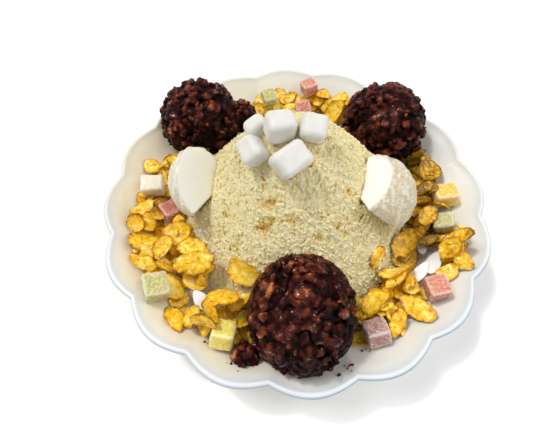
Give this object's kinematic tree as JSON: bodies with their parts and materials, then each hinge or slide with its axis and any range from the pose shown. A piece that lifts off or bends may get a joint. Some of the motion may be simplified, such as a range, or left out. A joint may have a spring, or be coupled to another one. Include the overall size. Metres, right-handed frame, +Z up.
{
  "type": "shaved ice dessert",
  "caption": "Shaved ice cone under roasted soybean powder in a scalloped white dish, with sweet bean paste, rice cakes, corn flakes and jelly cubes.",
  "frame": {"origin": "centre of the dish's foot, on the surface it stands on", "axes": "+Z up along the dish's axis, -Y towards the front scoop, +X to the viewer's right"},
  "size_m": [0.2046, 0.2046, 0.0915],
  "materials": {
    "glazed_white": "glossy white glaze",
    "bean_powder": "dry crumbly roasted soybean powder over shaved ice, matt",
    "bean_paste": "moist dark sweet bean paste with whole beans",
    "rice_cake": "soft satin rice cake, dusted with powder in places",
    "corn_flake": "toasted golden corn flake, slightly glossy",
    "almond": "sliced almond",
    "jelly_white": "sugared translucent jelly",
    "jelly_red": "sugared translucent jelly",
    "jelly_green": "sugared translucent jelly",
    "jelly_yellow": "sugared translucent jelly",
    "jelly_pink": "sugared translucent jelly",
    "jelly_orange": "sugared translucent jelly",
    "jelly_purple": "sugared translucent jelly"
  },
  "bodies": {
    "root": {"dish": "glazed_white", "ice_mound": "bean_powder", "flakes_left": "corn_flake", "flakes_right": "corn_flake", "flakes_back": "corn_flake", "bean_scoop_front": "bean_paste", "bean_scoop_left": "bean_paste", "bean_scoop_right": "bean_paste", "rice_cake_wedge_left": "rice_cake", "rice_cake_wedge_right": "rice_cake", "rice_cake_top": "rice_cake", "rice_cake_front": "rice_cake", "rice_cake_right": "rice_cake", "rice_cake_left": "rice_cake", "rice_cake_back": "rice_cake", "jelly_white": "jelly_white", "jelly_red_left": "jelly_red", "jelly_green_left": "jelly_green", "jelly_yellow": "jelly_yellow", "jelly_green_back": "jelly_green", "jelly_red_back": "jelly_red", "jelly_pink_back": "jelly_pink", "jelly_orange": "jelly_orange", "jelly_green_right": "jelly_green", "jelly_pink_right": "jelly_pink", "jelly_purple": "jelly_purple", "almond_right_back": "almond", "almond_right_front": "almond", "almond_right_inner": "almond", "almond_left": "almond", "flake_front_left": "corn_flake", "flake_front_right": "corn_flake"}
  },
  "joints": []
}
